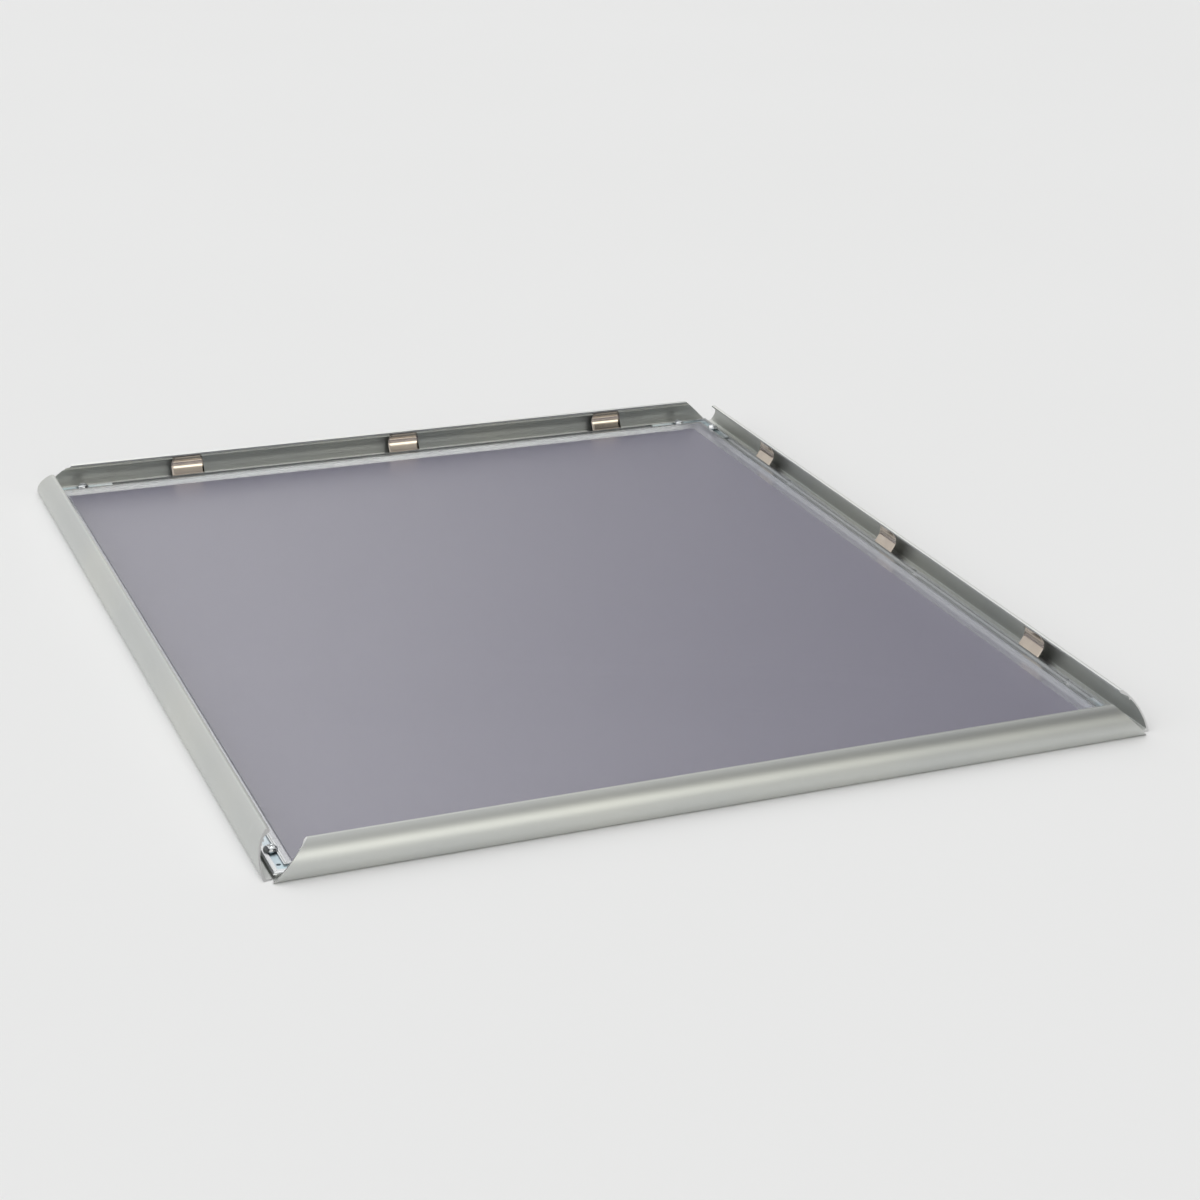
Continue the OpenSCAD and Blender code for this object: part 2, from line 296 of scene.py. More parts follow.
join(lines_group, lines_dot.outputs["Value"], lines_part.inputs["Scale"])
join(lines_group, lines_place.outputs["Object"], lines_side.inputs[0])
join(lines_group, lines_part.outputs["Vector"], lines_side.inputs[1])
join(lines_group, lines_part.outputs["Vector"], lines_short.inputs[0])
join(lines_group, lines_in.outputs["Stretch"], lines_short.inputs["Scale"])
join(lines_group, lines_side.outputs["Vector"], lines_mix.inputs[0])
join(lines_group, lines_short.outputs["Vector"], lines_mix.inputs[1])
lines_fine = add(lines_group, "ShaderNodeTexNoise", 0, 60, {"Detail": 3.0, "Roughness": 0.6})
lines_wide = add(lines_group, "ShaderNodeTexNoise", 0, -200, {"Scale": 260.0, "Detail": 2.0})
join(lines_group, lines_mix.outputs["Vector"], lines_fine.inputs["Vector"])
join(lines_group, lines_in.outputs["Fineness"], lines_fine.inputs["Scale"])
join(lines_group, lines_mix.outputs["Vector"], lines_wide.inputs["Vector"])
join(lines_group, lines_fine.outputs["Fac"], lines_out.inputs["Mask"])
join(lines_group, lines_wide.outputs["Fac"], lines_out.inputs["Broad"])
print("group:", lines_group.name, "with", len(lines_group.nodes), "nodes")

# %% [markdown]
# Anodised metal is never one even grey. The oxide's thickness drifts over a hand's width, and
# what stands around tints it, so the photograph shows a faint yellow-green in some places
# and a cooler grey in others. This group mixes two tints by slow noise, and adds small
# pale marks from handling.

# %% Group: tint drift
drift_group, drift_in, drift_out = new_group(
    "tint drift",
    [("Tint a", COLOUR, (0.8, 0.8, 0.8, 1)), ("Tint b", COLOUR, (0.7, 0.7, 0.7, 1)),
     ("Patch size", FLOAT, 9.0), ("Marks", FLOAT, 0.15)],
    [("Color", COLOUR)])
drift_place = add(drift_group, "ShaderNodeTexCoord", -900, -200)
drift_noise = add(drift_group, "ShaderNodeTexNoise", -600, 0, {"Detail": 2.0, "Roughness": 0.45})
drift_ramp = add(drift_group, "ShaderNodeMapRange", -400, 0,
                 {"From Min": 0.35, "From Max": 0.65, "To Min": 0.0, "To Max": 1.0})
drift_mix = add(drift_group, "ShaderNodeMix", -150, 0, data_type="RGBA")
marks_noise = add(drift_group, "ShaderNodeTexNoise", -600, -300, {"Scale": 160.0, "Detail": 6.0})
marks_ramp = add(drift_group, "ShaderNodeMapRange", -400, -300,
                 {"From Min": 0.62, "From Max": 0.78, "To Min": 0.0, "To Max": 1.0})
marks_scale = add(drift_group, "ShaderNodeMath", -150, -300, operation="MULTIPLY")
marks_mix = add(drift_group, "ShaderNodeMix", 150, 0, {"B": (0.92, 0.92, 0.91, 1)}, data_type="RGBA")
join(drift_group, drift_place.outputs["Object"], drift_noise.inputs["Vector"])
join(drift_group, drift_in.outputs["Patch size"], drift_noise.inputs["Scale"])
join(drift_group, drift_noise.outputs["Fac"], drift_ramp.inputs["Value"])
join(drift_group, drift_ramp.outputs["Result"], drift_mix.inputs["Factor"])
join(drift_group, drift_in.outputs["Tint a"], drift_mix.inputs["A"])
join(drift_group, drift_in.outputs["Tint b"], drift_mix.inputs["B"])
join(drift_group, drift_place.outputs["Object"], marks_noise.inputs["Vector"])
join(drift_group, marks_noise.outputs["Fac"], marks_ramp.inputs["Value"])
join(drift_group, marks_ramp.outputs["Result"], marks_scale.inputs[0])
join(drift_group, drift_in.outputs["Marks"], marks_scale.inputs[1])
join(drift_group, drift_mix.outputs["Result"], marks_mix.inputs["A"])
join(drift_group, marks_scale.outputs["Value"], marks_mix.inputs["Factor"])
join(drift_group, marks_mix.outputs["Result"], drift_out.inputs["Color"])
print("group:", drift_group.name)

# %% [markdown]
# Where two faces meet, metal is rubbed bright. Blender knows how far a mesh stands out at a
# point, which it calls pointiness, and this group turns that into a mask for edges that a
# material can brighten and polish. With its start and full swapped, the mask picks out
# hollows instead, where the spring strip gets painted shade in its creases.

# %% Group: edge wear and crease shade
wear_and_crease_shade_group, wear_in, wear_out = new_group(
    "edge wear and crease shade",
    [("Start", FLOAT, 0.53), ("Full", FLOAT, 0.60), ("Break up", FLOAT, 300.0)],
    [("Edge", FLOAT)])
wear_shape = add(wear_and_crease_shade_group, "ShaderNodeNewGeometry", -600, 0)
wear_ramp = add(wear_and_crease_shade_group, "ShaderNodeMapRange", -300, 0)
wear_noise = add(wear_and_crease_shade_group, "ShaderNodeTexNoise", -600, -300, {"Detail": 3.0})
wear_place = add(wear_and_crease_shade_group, "ShaderNodeTexCoord", -800, -300)
wear_times = add(wear_and_crease_shade_group, "ShaderNodeMath", 0, 0, operation="MULTIPLY")
join(wear_and_crease_shade_group, wear_shape.outputs["Pointiness"], wear_ramp.inputs["Value"])
join(wear_and_crease_shade_group, wear_in.outputs["Start"], wear_ramp.inputs["From Min"])
join(wear_and_crease_shade_group, wear_in.outputs["Full"], wear_ramp.inputs["From Max"])
join(wear_and_crease_shade_group, wear_place.outputs["Object"], wear_noise.inputs["Vector"])
join(wear_and_crease_shade_group, wear_in.outputs["Break up"], wear_noise.inputs["Scale"])
join(wear_and_crease_shade_group, wear_ramp.outputs["Result"], wear_times.inputs[0])
join(wear_and_crease_shade_group, wear_noise.outputs["Fac"], wear_times.inputs[1])
join(wear_and_crease_shade_group, wear_times.outputs["Value"], wear_out.inputs["Edge"])
print("group:", wear_and_crease_shade_group.name)

# %% [markdown]
# Both extrusions are the same anodised aluminium, but the photograph shows them apart: the
# snap rails are a satin grey with rubbed edges, and the base rails, which no hand touches,
# are smoother and mirror more. One function makes the finish for either, for bars that run
# one way or the other.

# %% Material: anodised aluminium
bare_metal = (0.93, 0.93, 0.92)


def anodised(name, tint_a, tint_b, metal, roughness, along, streaks=0.02, marks=0.06, worn=True):
    """Satin anodised metal with die lines along the bar, drifting tint and bright edges."""
    made, principled = shader_material(name, tint_a, metal, roughness)
    tree = made.node_tree
    lines = use_group(tree, lines_group, -900, 0, along=along, stretch=0.0)
    drift = use_group(tree, drift_group, -900, 300, tint_a=(*tint_a, 1), tint_b=(*tint_b, 1), marks=marks)
    streak = add(tree, "ShaderNodeMix", -500, 300, {"Factor": streaks}, data_type="RGBA",
                 blend_type="OVERLAY")
    gloss = add(tree, "ShaderNodeMapRange", -500, 0,
                {"To Min": roughness - 0.6 * streaks, "To Max": roughness + 0.8 * streaks})
    bump = add(tree, "ShaderNodeBump", -250, -200, {"Strength": 1.8 * streaks, "Distance": 0.00002})
    join(tree, drift.outputs["Color"], streak.inputs["A"])
    join(tree, lines.outputs["Broad"], streak.inputs["B"])
    colour = streak
    if worn:
        wear = use_group(tree, wear_and_crease_shade_group, -900, -300)
        colour = add(tree, "ShaderNodeMix", -250, 300, {"B": (*bare_metal, 1)}, data_type="RGBA")
        join(tree, streak.outputs["Result"], colour.inputs["A"])
        join(tree, wear.outputs["Edge"], colour.inputs["Factor"])
    join(tree, colour.outputs["Result"], principled.inputs["Base Color"])
    join(tree, lines.outputs["Mask"], gloss.inputs["Value"])
    join(tree, gloss.outputs["Result"], principled.inputs["Roughness"])
    join(tree, lines.outputs["Mask"], bump.inputs["Height"])
    join(tree, bump.outputs["Normal"], principled.inputs["Normal"])
    return made


def run_of(side):
    """The direction that a side's bar runs in."""
    return (1, 0, 0) if side in ("front", "back") else (0, 1, 0)


rail_finish = {side: anodised("snap rail " + side, (0.62, 0.63, 0.60), (0.585, 0.60, 0.585),
                              1.0, 0.40, run_of(side)) for side in SIDES}
base_finish = {side: anodised("base rail " + side, (0.66, 0.67, 0.67), (0.63, 0.645, 0.655),
                              0.92, 0.24, run_of(side), streaks=0.004, marks=0.01,
                              worn=False) for side in SIDES}
print("aluminium finishes:", len(rail_finish) + len(base_finish))

# %% [markdown]
# The small steel pieces differ in colour more than in gloss. Spring strip is blued and
# tempered to a warm grey, and shade is painted into its pressed grooves as near black.
# Zinc plating is colder, with the faint blue cloud of its passivation. The screws are the
# same zinc, worn brighter on the crown.

# %% Materials: steel
# Near black, painted into the spring's grooves as their shade.
painted_groove_shade = (0.02, 0.02, 0.02)


def steel(name, tint_a, tint_b, roughness, along=(0, 0, 1), patch=60.0, worn=0.95, crease_shade=0.0):
    """Plated or tempered steel with clouded tint, fine drawing lines and painted shade in its creases."""
    made, principled = shader_material(name, tint_a, 1.0, roughness)
    tree = made.node_tree
    drift = use_group(tree, drift_group, -900, 300, tint_a=(*tint_a, 1), tint_b=(*tint_b, 1),
                      patch_size=patch, marks=0.2)
    lines = use_group(tree, lines_group, -900, 0, along=along, fineness=2600.0, stretch=0.03)
    wear = use_group(tree, wear_and_crease_shade_group, -900, -300, start=0.52, full=0.58)
    bright = add(tree, "ShaderNodeMix", -300, 300, {"B": (worn, worn, worn, 1)}, data_type="RGBA")
    gloss = add(tree, "ShaderNodeMapRange", -500, 0,
                {"To Min": roughness - 0.03, "To Max": roughness + 0.05})
    bump = add(tree, "ShaderNodeBump", -300, -200, {"Strength": 0.15, "Distance": 0.00001})
    join(tree, drift.outputs["Color"], bright.inputs["A"])
    join(tree, wear.outputs["Edge"], bright.inputs["Factor"])
    colour = bright
    # Painted shade: where the mesh is hollow, the colour is mixed towards near black.
    if crease_shade:
        crease_shade_mask = use_group(tree, wear_and_crease_shade_group, -900, -600, start=0.485, full=0.44)
        depth = add(tree, "ShaderNodeMath", -500, -500, {1: crease_shade}, operation="MULTIPLY", use_clamp=True)
        colour = add(tree, "ShaderNodeMix", -150, 300, {"B": (*painted_groove_shade, 1)}, data_type="RGBA")
        join(tree, crease_shade_mask.outputs["Edge"], depth.inputs[0])
        join(tree, depth.outputs["Value"], colour.inputs["Factor"])
        join(tree, bright.outputs["Result"], colour.inputs["A"])
    join(tree, colour.outputs["Result"], principled.inputs["Base Color"])
    join(tree, lines.outputs["Mask"], gloss.inputs["Value"])
    join(tree, gloss.outputs["Result"], principled.inputs["Roughness"])
    join(tree, lines.outputs["Mask"], bump.inputs["Height"])
    join(tree, bump.outputs["Normal"], principled.inputs["Normal"])
    return made


# The spring strip gets painted shade in its creases.
spring_finish = steel("tempered spring strip", (0.60, 0.53, 0.45), (0.56, 0.49, 0.42), 0.13,
                      patch=90.0, worn=0.5, crease_shade=2.0)
zinc_finish = steel("blue zinc plate", (0.47, 0.58, 0.62), (0.49, 0.56, 0.605), 0.36,
                    patch=70.0, worn=0.8)
sawn_finish = steel("sawn aluminium", bare_metal, (0.88, 0.88, 0.88), 0.34, patch=400.0)
screw_finish = steel("bright zinc screw", (0.74, 0.76, 0.77), (0.62, 0.65, 0.66), 0.18, patch=220.0)
print("steel finishes: 3, and sawn aluminium")

# %% [markdown]
# The backing panel is a sheet of grey plastic with a fine matt grain, slightly violet in the
# photograph. The cover sheet over it is clear plastic with one glare-free side, so it adds
# a soft veil and blurs what it mirrors. Its violet tint turns the bare ledge beside the panel
# into a pale violet band, which is partly the sheet's veil and partly a painted reflection
# of the base rail's inner wall.

# %% Materials: plastic sheets
panel_finish, panel_shader = shader_material("grey backing plastic", (0.148, 0.138, 0.197), 0.0, 0.55,
                                             coat_weight=1.0, coat_roughness=0.30, coat_ior=2.3)
panel_tree = panel_finish.node_tree
panel_drift = use_group(panel_tree, drift_group, -900, 300, tint_a=(0.152, 0.142, 0.201, 1),
                        tint_b=(0.144, 0.134, 0.193, 1), patch_size=3.0, marks=0.03)
panel_place = add(panel_tree, "ShaderNodeTexCoord", -1100, -100)
panel_grain = add(panel_tree, "ShaderNodeTexNoise", -900, -100, {"Scale": 2600.0, "Detail": 4.0})
panel_bump = add(panel_tree, "ShaderNodeBump", -400, -150, {"Strength": 0.25, "Distance": 0.00003})
panel_gloss = add(panel_tree, "ShaderNodeMapRange", -600, 0, {"To Min": 0.48, "To Max": 0.62})
join(panel_tree, panel_place.outputs["Object"], panel_grain.inputs["Vector"])
join(panel_tree, panel_drift.outputs["Color"], panel_shader.inputs["Base Color"])
join(panel_tree, panel_grain.outputs["Fac"], panel_gloss.inputs["Value"])
join(panel_tree, panel_gloss.outputs["Result"], panel_shader.inputs["Roughness"])
join(panel_tree, panel_grain.outputs["Fac"], panel_bump.inputs["Height"])
join(panel_tree, panel_bump.outputs["Normal"], panel_shader.inputs["Normal"])

# Painted reflection in part: the violet tint over the ledge stands in for the base rail's wall mirrored in
# the sheet.
film_finish, film_shader = shader_material("clear cover plastic", (0.58, 0.57, 0.69), 0.0, 0.32, alpha=0.11)
film_tree = film_finish.node_tree
film_place = add(film_tree, "ShaderNodeTexCoord", -1100, -100)
film_grain = add(film_tree, "ShaderNodeTexNoise", -900, -100, {"Scale": 900.0, "Detail": 5.0})
film_gloss = add(film_tree, "ShaderNodeMapRange", -600, 0, {"To Min": 0.26, "To Max": 0.38})
film_bump = add(film_tree, "ShaderNodeBump", -400, -200, {"Strength": 0.1, "Distance": 0.00001})
join(film_tree, film_place.outputs["Object"], film_grain.inputs["Vector"])
join(film_tree, film_grain.outputs["Fac"], film_gloss.inputs["Value"])
join(film_tree, film_gloss.outputs["Result"], film_shader.inputs["Roughness"])
join(film_tree, film_grain.outputs["Fac"], film_bump.inputs["Height"])
join(film_tree, film_bump.outputs["Normal"], film_shader.inputs["Normal"])
print("plastic finishes: 2")

# %% [markdown]
# The floor is a roll of white paper. Only a trace of unevenness keeps it from looking
# computed.

# %% Material: floor
floor_finish, floor_shader = shader_material("studio paper", (0.85, 0.85, 0.85), 0.0, 0.9)
floor_tree = floor_finish.node_tree
floor_place = add(floor_tree, "ShaderNodeTexCoord", -900, 0)
floor_noise = add(floor_tree, "ShaderNodeTexNoise", -700, 0, {"Scale": 1.5, "Detail": 2.0})
floor_ramp = add(floor_tree, "ShaderNodeMix", -400, 0,
                 {"A": (0.84, 0.842, 0.84, 1), "B": (0.86, 0.862, 0.862, 1)}, data_type="RGBA")
join(floor_tree, floor_place.outputs["Object"], floor_noise.inputs["Vector"])
join(floor_tree, floor_noise.outputs["Fac"], floor_ramp.inputs["Factor"])
join(floor_tree, floor_ramp.outputs["Result"], floor_shader.inputs["Base Color"])
floor_mesh.materials.append(floor_finish)
print("floor finished")

# %% [markdown]
# Pieces whose CAD shape is right keep it and only get a finish. A real edge is never a
# perfect corner, so small bevels are added as modifiers, which leave the CAD mesh itself
# as it was: the doubled points are welded, flat triangles are merged, and then the edges
# are rounded by about a tenth of a millimetre. The faces are shaded flat, because the
# ledges of an extrusion are flat.

# %% Dress the CAD pieces
weld_gap = 0.002 * MM
flat_turn = math.radians(0.5)
edge_turn = math.radians(35)


def dress(node, finish, bevel):
    """Gives a CAD piece its finish and softens its edges."""
    piece = nodes[node]
    piece.data.materials.clear()
    piece.data.materials.append(finish)
    weld = piece.modifiers.new("weld", "WELD")
    weld.merge_threshold = weld_gap
    flat = piece.modifiers.new("merge flat faces", "DECIMATE")
    flat.decimate_type = "DISSOLVE"
    flat.angle_limit = flat_turn
    soft = piece.modifiers.new("soft edges", "BEVEL")
    soft.width = bevel
    soft.segments = 2
    soft.limit_method = "ANGLE"
    soft.angle_limit = edge_turn
    for face in piece.data.polygons:
        face.use_smooth = False


for side in SIDES:
    dress("base_rail_" + side, base_finish[side], 0.06 * MM)
for node in nodes:
    if node.startswith("corner_bracket"):
        dress(node, zinc_finish, 0.15 * MM)
dress("backing_panel", panel_finish, 0.06 * MM)
dress("cover_sheet", film_finish, 0.05 * MM)
print("dressed: base rails, brackets, panel and cover")

# %% [markdown]
# The snap rails are the face of the frame, so they are built again in finer mesh from the
# same section as the CAD model: a wide arc, a small bend, a foot with the hinge bead, and
# a pressing lip. The section is worked out closed, from the arc's centre, and then turned
# open about the hinge. Each point is carried to the mitre at both ends, which is where
# the rail was sawn.

# %% The snap rail's section
crown_r = 18.6 * MM
crown_z = 10.0 * MM
crown_d = 7.66 * MM
rail_wall = 1.1 * MM
foot_wall = 0.6 * MM
bend_r = 1.5 * MM
rail_w = 20.8 * MM
press_z = 2.65 * MM
lip_run = 3.4 * MM
lip_foot = 1.2 * MM
bead_r = 0.8 * MM
rib_in = 1.2 * MM
rib_run = 0.6 * MM
rib_high = 0.8 * MM
neck_z = hinge_up - 0.1 * MM
taper_z = 3.5 * MM
corner_r = 0.15 * MM
mitre_gap = 0.15 * MM
end_bevel = 0.2 * MM
crown_c = Vector((crown_d, crown_z - crown_r))
inner_r = crown_r - rail_wall
lean = math.pi / 2 - open_angle


def arc(centre, radius, start, end, steps):
    """Points along an arc, from one angle to another."""
    return [centre + radius * Vector((math.cos(a), math.sin(a)))
            for a in (start + (end - start) * i / steps for i in range(steps + 1))]


def turn_of(point):
    """The angle of a point seen from the centre of the curved face."""
    return math.atan2(point[1] - crown_c.y, point[0] - crown_c.x)


def rounded(points, radius, steps=3):
    """Rounds the corners of a closed outline that turn by more than 30 degrees."""
    blunt = math.radians(150)
    out = []
    for i, here in enumerate(points):
        before, after = points[i - 1], points[(i + 1) % len(points)]
        to_before, to_after = before - here, after - here
        angle = to_before.angle(to_after)
        if angle > blunt:
            out.append(here)
            continue
        reach = min(radius / math.tan(angle / 2), to_before.length * 0.4, to_after.length * 0.4)
        first = here + to_before.normalized() * reach
        last = here + to_after.normalized() * reach
        shares = [k / steps for k in range(steps + 1)]
        out += [first.lerp(here, t).lerp(here.lerp(last, t), t) for t in shares]
    return out


def snap_outline():
    """The closed outline of a snap rail's section, as (d, z) points."""
    shoulder_z = crown_c.y + math.sqrt(crown_r ** 2 - crown_d ** 2)
    tip = Vector((rail_w, crown_c.y + math.sqrt(crown_r ** 2 - (rail_w - crown_d) ** 2)))
    lip_d = rail_w - lip_run
    lip_base = Vector((lip_d, crown_c.y + math.sqrt(inner_r ** 2 - (lip_d - crown_d) ** 2)))
    lip_edge = Vector((rail_w - lip_foot, press_z))
    foot_z = hinge_up - bead_r

    def foot_at(z):
        return (shoulder_z - z) * math.tan(lean)

    off = -crown_d * math.cos(lean) + (shoulder_z - crown_c.y) * math.sin(lean) + bend_r
    drop = (crown_d * math.sin(lean) + (shoulder_z - crown_c.y) * math.cos(lean)
            - math.sqrt((crown_r - bend_r) ** 2 - off ** 2))
    bend_c = Vector((bend_r * math.cos(lean) + drop * math.sin(lean),
                     shoulder_z + bend_r * math.sin(lean) - drop * math.cos(lean)))
    bend_turn = turn_of(bend_c)
    rib_near = turn_of(lip_base) + rib_in / inner_r
    rib_far = rib_near + rib_run / inner_r
    points = arc(crown_c, crown_r, turn_of(tip), bend_turn, 56)
    points += arc(bend_c, bend_r, bend_turn, math.pi + lean, 10)[1:]
    points += [Vector((foot_at(foot_z), foot_z)), Vector((foot_at(foot_z) + foot_wall, foot_z)),
               Vector((hinge_in - bead_r * 0.75, foot_z + 0.45 * MM))]
    points += arc(Vector((hinge_in, hinge_up)), bead_r, math.radians(208), math.radians(532), 22)
    points += [Vector((foot_at(z) + foot_wall, z)) for z in (neck_z, taper_z)]
    points += arc(bend_c, bend_r - rail_wall, math.pi + lean, bend_turn + 0.02, 5)
    points += arc(crown_c, inner_r, bend_turn, rib_far, 44)
    points += arc(crown_c, inner_r - rib_high, rib_far, rib_near, 1)
    points += arc(crown_c, inner_r, rib_near, turn_of(lip_base), 4)
    points += [lip_edge, Vector((rail_w, press_z))]
    return rounded(points, corner_r)


closed_section = snap_outline()
print("snap rail section:", len(closed_section), "points")

# %% [markdown]
# A rail is a tube of that outline with a cap at each end. Its ends are mitred twice: once
# for the closed frame and once for the open one, so that the feet, which swing outward,
# keep clear of the neighbour's corner. The caps show the bright metal of the saw cut.

# %% The snap rails


def opened(point):
    """A (d, z) point of the closed section, turned out about the hinge."""
    d, z = point[0] - hinge_in, point[1] - hinge_up
    return Vector((hinge_in + d * math.cos(open_angle) - z * math.sin(open_angle),
                   hinge_up + d * math.sin(open_angle) + z * math.cos(open_angle)))


def mesh_piece(name, mesh_maker, finish, smooth_angle=30):
    """Makes an object from a bmesh that a function fills, shaded smooth but for its edges."""
    work = bmesh.new()
    mesh_maker(work)
    bmesh.ops.recalc_face_normals(work, faces=work.faces[:])
    mesh = bpy.data.meshes.new(name)
    for edge in work.edges:
        edge.smooth = edge.calc_face_angle(0) < math.radians(smooth_angle)
    for face in work.faces:
        face.smooth = True
    work.to_mesh(mesh)
    work.free()
    mesh.materials.append(finish)
    made = bpy.data.objects.new(name, mesh)
    scene.collection.objects.link(made)
    return made


cap_triangles = tessellate_polygon([[Vector((d, z, 0)) for d, z in closed_section]])


def snap_rail(side):
    """One snap rail, open, with its mitred ends."""
    half = side_half(side)
    place = side_matrix(side)

    def fill(work):
        rings = []
        for sign, inset in ((-1, 0), (-1, end_bevel), (1, end_bevel), (1, 0)):
            ring = []
            for point in closed_section:
                out = opened(point)
                bead = (point - Vector((hinge_in, hinge_up))).length < bead_r * 1.02
                cut = max(point[0], out[0], hinge_in + bead_r if bead else -1) + mitre_gap + inset
                ring.append(work.verts.new(place @ Vector((sign * (half - cut), out[0], out[1]))))
            rings.append(ring)
        count = len(closed_section)
        for a, b in zip(rings, rings[1:]):
            for i in range(count):
                work.faces.new((a[i], a[(i + 1) % count], b[(i + 1) % count], b[i]))
        for ring in (rings[0], rings[-1]):
            for triangle in cap_triangles:
                work.faces.new([ring[k] for k in triangle]).material_index = 1

    made = mesh_piece("rail_" + side, fill, rail_finish[side])
    made.data.materials.append(sawn_finish)
    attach(made, "snap_" + side)
    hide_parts("snap_rail_" + side)
    return made


rails = [snap_rail(side) for side in SIDES]
print("snap rails:", len(rails))

# %% [markdown]
# Each rail has three leaf springs. A leaf is one strip of steel, bent at a knee: its foot
# stands on the base rail and its upper end is tucked in the groove of the snap rail. When
# the rail turns, the leaf bends past its dead centre and snaps over. The strip is lofted
# along its bends, narrowed towards its upper end, and thickened.

# %% The leaf springs
leaf_w = 24 * MM
leaf_t = 0.5 * MM
leaf_crown = 0.04 * MM
leaf_across = 12
leaf_edge = 0.1 * MM
# The bends as (d, z) in mm, foot first, and the share of the full width at each of them.
leaf_points = [(4.75, 3.58), (4.35, 3.95), (2.9, 6.2), (1.85, 7.9), (1.45, 8.7), (1.18, 9.5),
               (1.03, 10.4), (1.0, 11.2), (1.05, 12.3), (1.0, 12.62), (0.66, 12.85), (1.0, 13.1),
               (1.2, 13.55), (0.9, 13.8), (1.42, 14.1), (2.05, 15.6), (2.62, 16.75)]
leaf_width = [1.0] * 7 + [0.99, 0.98, 0.97, 0.97, 0.96, 0.95, 0.95, 0.94, 0.90, 0.84]


def smooth_line(points, steps):
    """A smooth curve through points, with a number of steps between two of them."""
    out = []
    last = len(points) - 1
    for i in range(last):
        p0 = points[max(i - 1, 0)]
        p1, p2 = points[i], points[i + 1]
        p3 = points[min(i + 2, last)]
        for k in range(steps):
            t = k / steps
            a = 2 * p1
            b = (p2 - p0) * t
            c = (2 * p0 - 5 * p1 + 4 * p2 - p3) * t * t
            d = (3 * p1 - p0 - 3 * p2 + p3) * t ** 3
            out.append((a + b + c + d) * 0.5)
    return out + [points[-1]]


def leaf_spring(side, index):
    """One leaf spring, in place of its CAD node."""
    node = f"spring_{side}_{index}"
    low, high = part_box(node)
    middle = (low + high) / 2
    place = side_matrix(side)
    local = place.inverted() @ middle
    profile = smooth_line([Vector((d * MM, z * MM, w)) for (d, z), w in zip(leaf_points, leaf_width)], 4)

    def fill(work):
        rows = []
        for point in profile:
            half = leaf_w / 2 * point[2]
            row = []
            for k in range(leaf_across + 1):
                u = -1 + 2 * k / leaf_across
                crown = leaf_crown * (1 - u * u)
                row.append(work.verts.new(place @ Vector((local.x + half * u, point[0] - crown, point[1]))))
            rows.append(row)
        for lower, upper in zip(rows, rows[1:]):
            for k in range(leaf_across):
                work.faces.new((lower[k], lower[k + 1], upper[k + 1], upper[k]))

    made = mesh_piece(f"leaf_{side}_{index}", fill, spring_finish)
    thick = made.modifiers.new("thickness", "SOLIDIFY")
    thick.thickness = leaf_t
    thick.offset = 0
    soft = made.modifiers.new("soft edges", "BEVEL")
    soft.width = leaf_edge
    soft.segments = 2
    soft.limit_method = "ANGLE"
    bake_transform(made)
    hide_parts(node)
    return made


leaves = [leaf_spring(side, index) for side in SIDES for index in (1, 2, 3)]
print("leaf springs:", len(leaves))

# %% [markdown]
# Each corner bracket is clamped by two pan-head screws. The head is a lathe shape: a short
# edge and a low dome. The cross recess is cut out of it with a boolean, by a cutter of two
# crossed, tapering blades. The screw is turned by a random angle, as a real one would be.

# %% The clamping screws
screw_r = 2.0 * MM
head_r = 3.9 * MM
head_h = 2.6 * MM
head_profile = [(0.0, 2.6), (0.9, 2.56), (1.8, 2.40), (2.6, 2.10), (3.2, 1.70), (3.62, 1.20),
                (3.84, 0.70), (3.9, 0.35), (3.88, 0.12), (3.78, 0.0), (2.0, 0.0), (1.94, -0.15)]
thread_pitch = 0.7 * MM
thread_depth = 0.25 * MM
thread_start = 0.2 * MM
thread_stop = 0.3 * MM
point_high = 0.1 * MM
blade_over = 0.4 * MM
blade_under = 1.5 * MM
# Half the length and half the width of a recess blade, at its bottom and at its top.
blade_low = (0.9 * MM, 0.28 * MM)
blade_high = (2.35 * MM, 0.55 * MM)


def screw_blank(work, length):
    """Head and shank by revolving a profile, with the thread as a wavy shank."""
    profile = [(r * MM, z * MM) for r, z in head_profile]
    z = -thread_start
    while z > -length + thread_stop:
        profile += [(screw_r, z), (screw_r - thread_depth, z - thread_pitch / 2)]
        z -= thread_pitch
    profile += [(screw_r - thread_depth, -length + point_high), (screw_r * 0.7, -length), (0.0, -length)]
    steps = 40
    angles = [2 * math.pi * k / steps for k in range(steps)]
    rings = []
    for r, height in profile:
        if r == 0:
            rings.append([work.verts.new((0, 0, height))] * steps)
            continue
        rings.append([work.verts.new((r * math.cos(a), r * math.sin(a), height)) for a in angles])
    for upper, lower in zip(rings, rings[1:]):
        for k in range(steps):
            n = (k + 1) % steps
            corners = []
            for vert in (upper[k], upper[n], lower[n], lower[k]):
                if vert not in corners:
                    corners.append(vert)
            work.faces.new(corners)


def applied(obj):
    """The object's mesh with its modifiers worked in."""
    graph = bpy.context.evaluated_depsgraph_get()
    return bpy.data.meshes.new_from_object(obj.evaluated_get(graph))


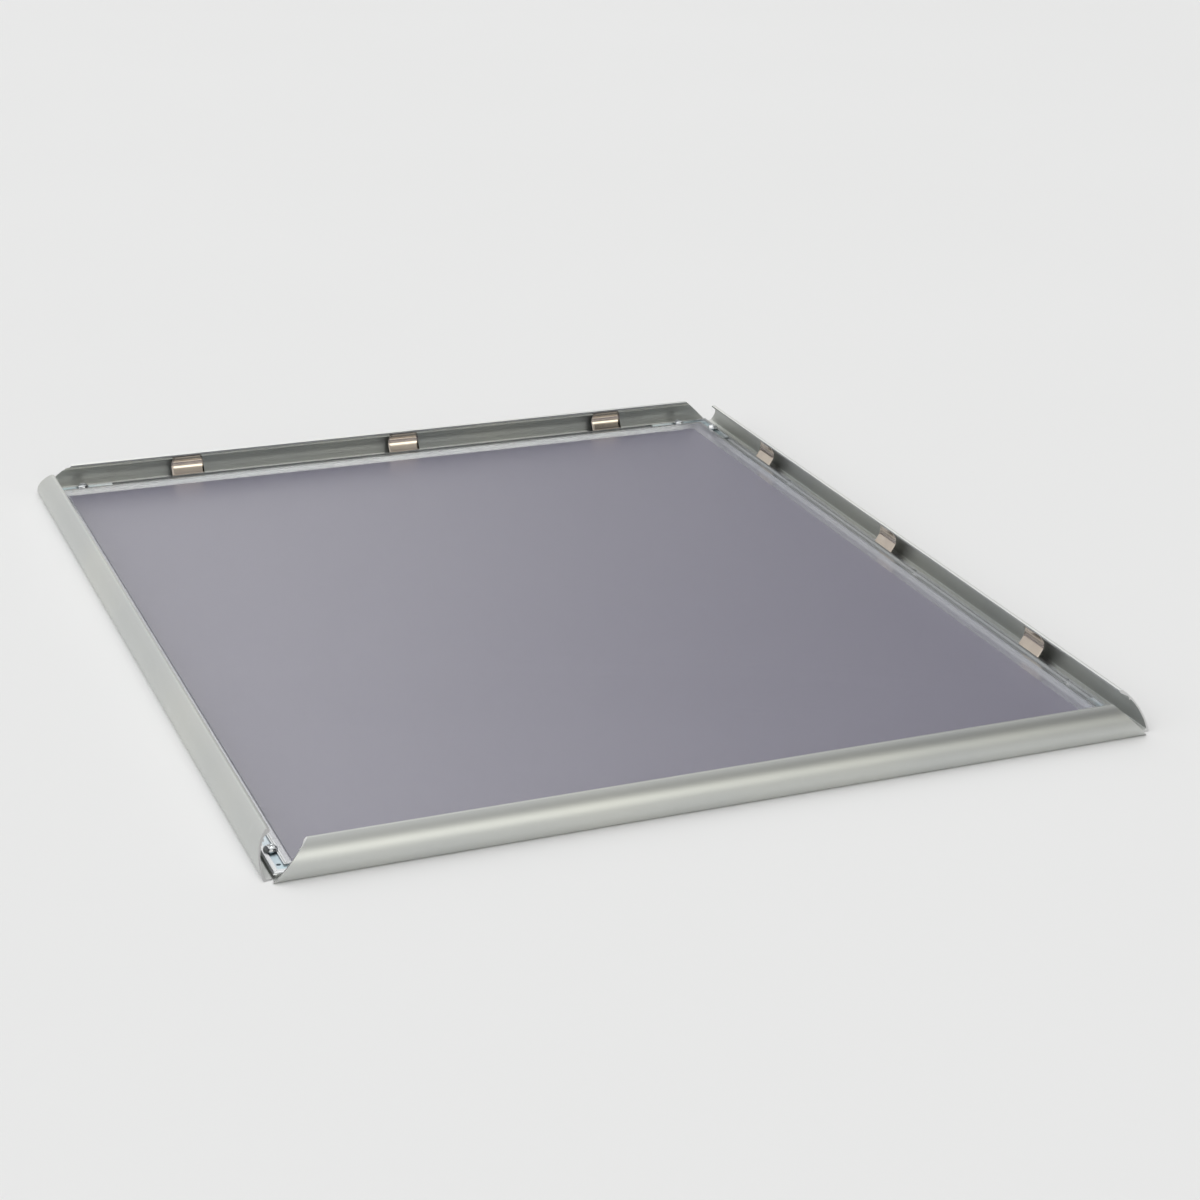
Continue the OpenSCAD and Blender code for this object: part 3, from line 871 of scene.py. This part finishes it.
def screw_mesh():
    """The mesh of one screw, with its recess cut."""
    low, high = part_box("clamp_screws_front_left")
    length = high.z - low.z - head_h
    blank = mesh_piece("screw_blank", lambda work: screw_blank(work, length), screw_finish, 40)
    cutters = []
    for k in (0, 1):
        cutter = mesh_piece(f"recess_{k}", blade_maker(k), screw_finish)
        cut = blank.modifiers.new("recess", "BOOLEAN")
        cut.object = cutter
        cut.solver = "EXACT"
        cutters.append(cutter)
    bpy.context.view_layer.update()
    mesh = applied(blank)
    for leftover in [blank, *cutters]:
        bpy.data.objects.remove(leftover)
    return mesh


def blade_maker(index):
    """A function that fills a bmesh with one blade of the cutter."""
    def fill(work):
        spin = Matrix.Rotation(index * math.pi / 2, 4, "Z")
        levels = []
        for z, (long, wide) in ((head_h - blade_under, blade_low), (head_h + blade_over, blade_high)):
            levels.append([work.verts.new(spin @ Vector((x * long, y * wide, z))) for x, y in SQUARE])
        work.faces.new(levels[0])
        work.faces.new(levels[1])
        for k in range(4):
            n = (k + 1) % 4
            work.faces.new((levels[0][k], levels[0][n], levels[1][n], levels[1][k]))
    return fill


one_screw = screw_mesh()
turns = random.Random(7)


def clamp_screws(corner):
    """The two screws of one corner, in one piece that replaces their node."""
    low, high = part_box("clamp_screws_" + corner)
    centre = Vector(((low.x + high.x) / 2, (low.y + high.y) / 2, 0))
    towards = Vector((math.copysign(1, centre.x), math.copysign(1, centre.y), 0))
    seat_z = high.z - head_h
    reach = (high - low) / 2 - Vector((head_r, head_r, 0))
    near, far = centre + towards * reach, centre - towards * reach
    work = bmesh.new()
    for x, y in ((near.x, far.y), (far.x, near.y)):
        before = len(work.verts)
        work.from_mesh(one_screw)
        work.verts.ensure_lookup_table()
        place = Matrix.Translation((x, y, seat_z)) @ Matrix.Rotation(turns.uniform(0, math.pi), 4, "Z")
        bmesh.ops.transform(work, matrix=place, verts=work.verts[before:])
    mesh = bpy.data.meshes.new("screws_" + corner)
    work.to_mesh(mesh)
    work.free()
    mesh.materials.append(screw_finish)
    made = bpy.data.objects.new("screws_" + corner, mesh)
    scene.collection.objects.link(made)
    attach(made, "base")
    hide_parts("clamp_screws_" + corner)
    return made


screws = [clamp_screws(corner) for corner in ("front_left", "front_right", "back_right", "back_left")]
print("screw pairs:", len(screws))
